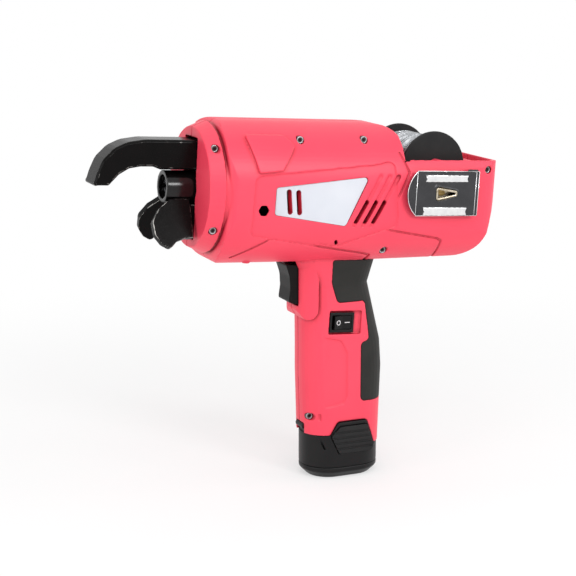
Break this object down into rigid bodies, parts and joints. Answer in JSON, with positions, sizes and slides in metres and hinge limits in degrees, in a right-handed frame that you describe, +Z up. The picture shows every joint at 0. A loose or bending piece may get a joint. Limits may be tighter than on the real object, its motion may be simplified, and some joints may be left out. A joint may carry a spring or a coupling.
{
  "type": "cordless rebar tying tool",
  "caption": "Pistol-shaped tool with a curling wire jaw at its nose, an open wire reel at its tail and a stick battery in its handle, for twisting wire ties round crossed bars.",
  "frame": {"origin": "centre of the flat underside of the battery foot", "axes": "+X towards the jaw, +Y towards the tool's left side, +Z up along the handle"},
  "size_m": [0.3343, 0.1136, 0.3036],
  "materials": {
    "red_shell": "moulded, fine satin",
    "black_rubber": "soft moulded grip",
    "black_plastic": "moulded",
    "gloss_black": "polished rocker",
    "black_steel": "blackened, worn at the edges",
    "label_film": "satin silver plate",
    "bright_steel": "machined",
    "clip_steel": "polished spring steel",
    "brass": "turned",
    "motor_can": "drawn can",
    "wire": "bright annealed wire",
    "board": "resin board",
    "cell_wrap": "shrink wrap"
  },
  "bodies": {
    "tool": {"left_housing": "red_shell", "right_housing": "red_shell", "housing_screws": "bright_steel", "side_label": "label_film", "left_grip": "black_rubber", "right_grip": "black_rubber", "belt_clip": "clip_steel", "clip_screw": "brass", "trigger_spring": "bright_steel", "trigger_switch": "black_plastic", "rocker_frame": "black_plastic", "upper_jaw": "black_steel", "guide_sleeve": "black_steel", "left_guide": "black_steel", "right_guide": "black_steel", "nose_plate": "bright_steel", "nose_bearing": "bright_steel", "gear_case": "motor_can", "gear_back_plate": "bright_steel", "twist_motor": "motor_can", "feed_frame": "bright_steel", "feed_motor": "motor_can", "wire_tube": "bright_steel", "control_board": "board", "reel_spindle": "bright_steel", "terminal_block": "black_plastic"},
    "trigger": {"trigger": "black_plastic"},
    "rocker": {"rocker": "gloss_black"},
    "reel": {"reel_spool": "black_plastic", "wire_core": "wire", "wire_winding": "wire"},
    "twister": {"planet_carrier": "bright_steel", "twist_hook": "bright_steel"},
    "sun": {"sun_gear": "brass", "twist_motor_shaft": "bright_steel"},
    "planet_a": {"planet_a": "brass"},
    "planet_b": {"planet_b": "brass"},
    "planet_c": {"planet_c": "brass"},
    "feed_roller": {"feed_roller": "bright_steel"},
    "feed_idler": {"feed_idler": "bright_steel"},
    "feed_pinion": {"feed_pinion": "brass"},
    "cutter": {"cutter_blade": "bright_steel"},
    "battery": {"battery_case": "black_plastic", "battery_cap": "black_plastic", "battery_cells": "cell_wrap", "battery_contacts": "brass", "left_button_spring": "bright_steel", "right_button_spring": "bright_steel"},
    "left_button": {"left_button": "black_plastic"},
    "right_button": {"right_button": "black_plastic"}
  },
  "joints": [
    {"name": "trigger_pull", "type": "slide", "parent": "tool", "child": "trigger", "axis": [-1, 0, 0], "range_m": [0, 0.006], "stiffness_N_per_m": 900, "springref_m": -0.002, "deforming": ["trigger_spring"]},
    {"name": "rocker_tilt", "type": "hinge", "parent": "tool", "child": "rocker", "pos_m": [0.00699, 0.019, 0.13371], "axis": [-0.0698, 0, 0.9976], "range_deg": [-16, 0]},
    {"name": "reel_spin", "type": "hinge", "parent": "tool", "child": "reel", "pos_m": [-0.06938, 0, 0.2605], "axis": [0, 1, 0], "continuous": true},
    {"name": "twist_spin", "type": "hinge", "parent": "tool", "child": "twister", "pos_m": [0.09966, 0, 0.2486], "axis": [0.9981, 0, 0.061], "continuous": true},
    {"name": "sun_spin", "type": "hinge", "parent": "tool", "child": "sun", "pos_m": [0.07371, 0, 0.24701], "axis": [0.9981, 0, 0.061], "continuous": true},
    {"name": "planet_a_spin", "type": "hinge", "parent": "twister", "child": "planet_a", "pos_m": [0.07371, 0.0135, 0.24701], "axis": [0.9981, 0, 0.061], "continuous": true},
    {"name": "planet_b_spin", "type": "hinge", "parent": "twister", "child": "planet_b", "pos_m": [0.073, -0.00675, 0.25868], "axis": [0.9981, 0, 0.061], "continuous": true},
    {"name": "planet_c_spin", "type": "hinge", "parent": "twister", "child": "planet_c", "pos_m": [0.07442, -0.00675, 0.23534], "axis": [0.9981, 0, 0.061], "continuous": true},
    {"name": "feed_roller_spin", "type": "hinge", "parent": "tool", "child": "feed_roller", "pos_m": [-0.00722, 0.0096, 0.2646], "axis": [-0.061, 0, 0.9981], "continuous": true},
    {"name": "feed_idler_spin", "type": "hinge", "parent": "tool", "child": "feed_idler", "pos_m": [-0.00722, -0.0096, 0.2646], "axis": [-0.061, 0, 0.9981], "continuous": true},
    {"name": "feed_pinion_spin", "type": "hinge", "parent": "tool", "child": "feed_pinion", "pos_m": [-0.01888, 0.0021, 0.25387], "axis": [-0.061, 0, 0.9981], "continuous": true},
    {"name": "cutter_slide", "type": "slide", "parent": "tool", "child": "cutter", "axis": [0, -1, 0], "range_m": [0, 0.006]},
    {"name": "battery_slide", "type": "slide", "parent": "tool", "child": "battery", "axis": [0, 0, -1], "range_m": [0, 0.1]},
    {"name": "left_button_press", "type": "slide", "parent": "battery", "child": "left_button", "axis": [0, -1, 0], "range_m": [0, 0.0025], "stiffness_N_per_m": 600, "springref_m": -0.001, "deforming": ["left_button_spring"]},
    {"name": "right_button_press", "type": "slide", "parent": "battery", "child": "right_button", "axis": [0, 1, 0], "range_m": [0, 0.0025], "stiffness_N_per_m": 600, "springref_m": -0.001, "deforming": ["right_button_spring"]}
  ],
  "couplings": [
    {"joint": "sun_spin", "follows": "twist_spin", "ratio": 4.5},
    {"joint": "planet_a_spin", "follows": "twist_spin", "ratio": -2.8},
    {"joint": "planet_b_spin", "follows": "twist_spin", "ratio": -2.8},
    {"joint": "planet_c_spin", "follows": "twist_spin", "ratio": -2.8},
    {"joint": "feed_idler_spin", "follows": "feed_roller_spin", "ratio": -1},
    {"joint": "feed_pinion_spin", "follows": "feed_roller_spin", "ratio": -2}
  ]
}
